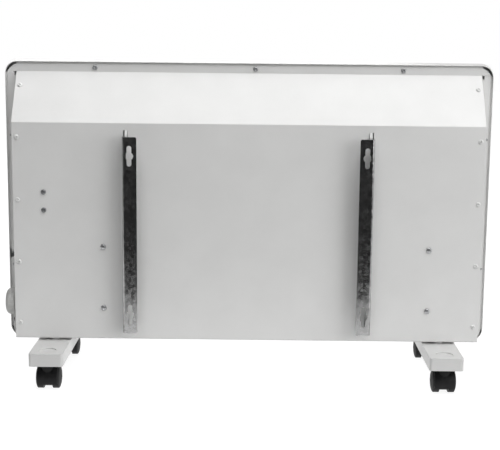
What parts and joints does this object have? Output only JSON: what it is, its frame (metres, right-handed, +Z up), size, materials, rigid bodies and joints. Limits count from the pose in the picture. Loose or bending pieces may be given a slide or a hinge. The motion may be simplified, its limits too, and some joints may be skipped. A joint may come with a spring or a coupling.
{
  "type": "wall panel convector heater",
  "caption": "White panel convector heater with a sloped back, louvred front outlet, side dial and switch, two hook-on wall brackets and two legs on swivelling twin-wheel castors.",
  "frame": {"origin": "on the floor, in the middle of the outline of the two legs, below the middle of the panel", "axes": "+X along the panel towards the control side, +Y towards the wall side, +Z up; the front panel faces -Y"},
  "size_m": [0.7652, 0.2486, 0.4972],
  "materials": {
    "white_paint": "semi-gloss white powder coat",
    "galvanised_steel": "bright galvanised sheet steel",
    "zinc_steel": "zinc-plated steel",
    "plain_steel": "plain galvanised inner sheet steel",
    "black_steel": "black oxide screws",
    "black_plastic": "moulded satin black plastic",
    "grey_plastic": "moulded pale grey plastic",
    "aluminium": "extruded aluminium",
    "ceramic": "cream steatite"
  },
  "bodies": {
    "heater": {"front_panel": "white_paint", "outlet_grille": "white_paint", "rear_cover": "white_paint", "right_side_wall": "white_paint", "left_side_wall": "white_paint", "inner_baffle": "plain_steel", "heating_element": "aluminium", "element_bracket_right": "plain_steel", "element_bracket_left": "plain_steel", "element_bush_right": "ceramic", "element_bush_left": "ceramic", "thermal_cutout": "zinc_steel", "tip_over_switch": "black_plastic", "terminal_block": "ceramic", "thermostat": "black_plastic", "cable_gland": "black_plastic", "control_plate": "grey_plastic", "switch_housing": "black_plastic", "leg_left": "white_paint", "leg_right": "white_paint", "panel_screw_1": "white_paint", "panel_screw_2": "white_paint", "panel_screw_3": "white_paint", "element_screw_1": "zinc_steel", "element_screw_2": "zinc_steel", "element_screw_3": "zinc_steel", "element_screw_4": "zinc_steel", "tip_switch_screw_1": "black_steel", "tip_switch_screw_2": "black_steel", "leg_screw_left_1": "zinc_steel", "leg_screw_left_2": "zinc_steel", "leg_screw_right_1": "zinc_steel", "leg_screw_right_2": "zinc_steel"},
    "dial": {"thermostat_knob": "grey_plastic", "thermostat_shaft": "zinc_steel"},
    "rocker": {"power_rocker": "black_plastic"},
    "bracket_left": {"wall_bracket_left": "galvanised_steel"},
    "bracket_right": {"wall_bracket_right": "galvanised_steel"},
    "castor_front_left": {"castor_front_left_hood": "black_plastic", "castor_front_left_axle": "zinc_steel"},
    "castor_front_left_left_wheel": {"castor_front_left_wheel_left": "black_plastic"},
    "castor_front_left_right_wheel": {"castor_front_left_wheel_right": "black_plastic"},
    "castor_rear_left": {"castor_rear_left_hood": "black_plastic", "castor_rear_left_axle": "zinc_steel"},
    "castor_rear_left_left_wheel": {"castor_rear_left_wheel_left": "black_plastic"},
    "castor_rear_left_right_wheel": {"castor_rear_left_wheel_right": "black_plastic"},
    "castor_front_right": {"castor_front_right_hood": "black_plastic", "castor_front_right_axle": "zinc_steel"},
    "castor_front_right_left_wheel": {"castor_front_right_wheel_left": "black_plastic"},
    "castor_front_right_right_wheel": {"castor_front_right_wheel_right": "black_plastic"},
    "castor_rear_right": {"castor_rear_right_hood": "black_plastic", "castor_rear_right_axle": "zinc_steel"},
    "castor_rear_right_left_wheel": {"castor_rear_right_wheel_left": "black_plastic"},
    "castor_rear_right_right_wheel": {"castor_rear_right_wheel_right": "black_plastic"}
  },
  "joints": [
    {"name": "thermostat_turn", "type": "hinge", "parent": "heater", "child": "dial", "pos_m": [0.3651, 0.0195, 0.11818], "axis": [-1, 0, 0], "range_deg": [-140, 140]},
    {"name": "power_switch_tilt", "type": "hinge", "parent": "heater", "child": "rocker", "pos_m": [0.3651, 0.0195, 0.08418], "axis": [0, -1, 0], "range_deg": [0, 16]},
    {"name": "wall_bracket_left_slide", "type": "slide", "parent": "heater", "child": "bracket_left", "axis": [0, 0, -1], "range_m": [0, 0.014]},
    {"name": "wall_bracket_right_slide", "type": "slide", "parent": "heater", "child": "bracket_right", "axis": [0, 0, -1], "range_m": [0, 0.014]},
    {"name": "castor_front_left_swivel", "type": "hinge", "parent": "heater", "child": "castor_front_left", "pos_m": [-0.3024, -0.10175, 0.01778], "axis": [0, 0, 1], "continuous": true},
    {"name": "castor_front_left_left_wheel_spin", "type": "hinge", "parent": "castor_front_left", "child": "castor_front_left_left_wheel", "pos_m": [-0.3024, -0.09425, 0.01778], "axis": [1, 0, 0], "continuous": true},
    {"name": "castor_front_left_right_wheel_spin", "type": "hinge", "parent": "castor_front_left", "child": "castor_front_left_right_wheel", "pos_m": [-0.3024, -0.09425, 0.01778], "axis": [1, 0, 0], "continuous": true},
    {"name": "castor_rear_left_swivel", "type": "hinge", "parent": "heater", "child": "castor_rear_left", "pos_m": [-0.3024, 0.10175, 0.01778], "axis": [0, 0, 1], "continuous": true},
    {"name": "castor_rear_left_left_wheel_spin", "type": "hinge", "parent": "castor_rear_left", "child": "castor_rear_left_left_wheel", "pos_m": [-0.3024, 0.09425, 0.01778], "axis": [1, 0, 0], "continuous": true},
    {"name": "castor_rear_left_right_wheel_spin", "type": "hinge", "parent": "castor_rear_left", "child": "castor_rear_left_right_wheel", "pos_m": [-0.3024, 0.09425, 0.01778], "axis": [1, 0, 0], "continuous": true},
    {"name": "castor_front_right_swivel", "type": "hinge", "parent": "heater", "child": "castor_front_right", "pos_m": [0.3024, -0.10175, 0.01778], "axis": [0, 0, 1], "continuous": true},
    {"name": "castor_front_right_left_wheel_spin", "type": "hinge", "parent": "castor_front_right", "child": "castor_front_right_left_wheel", "pos_m": [0.3024, -0.09425, 0.01778], "axis": [1, 0, 0], "continuous": true},
    {"name": "castor_front_right_right_wheel_spin", "type": "hinge", "parent": "castor_front_right", "child": "castor_front_right_right_wheel", "pos_m": [0.3024, -0.09425, 0.01778], "axis": [1, 0, 0], "continuous": true},
    {"name": "castor_rear_right_swivel", "type": "hinge", "parent": "heater", "child": "castor_rear_right", "pos_m": [0.3024, 0.10175, 0.01778], "axis": [0, 0, 1], "continuous": true},
    {"name": "castor_rear_right_left_wheel_spin", "type": "hinge", "parent": "castor_rear_right", "child": "castor_rear_right_left_wheel", "pos_m": [0.3024, 0.09425, 0.01778], "axis": [1, 0, 0], "continuous": true},
    {"name": "castor_rear_right_right_wheel_spin", "type": "hinge", "parent": "castor_rear_right", "child": "castor_rear_right_right_wheel", "pos_m": [0.3024, 0.09425, 0.01778], "axis": [1, 0, 0], "continuous": true}
  ]
}
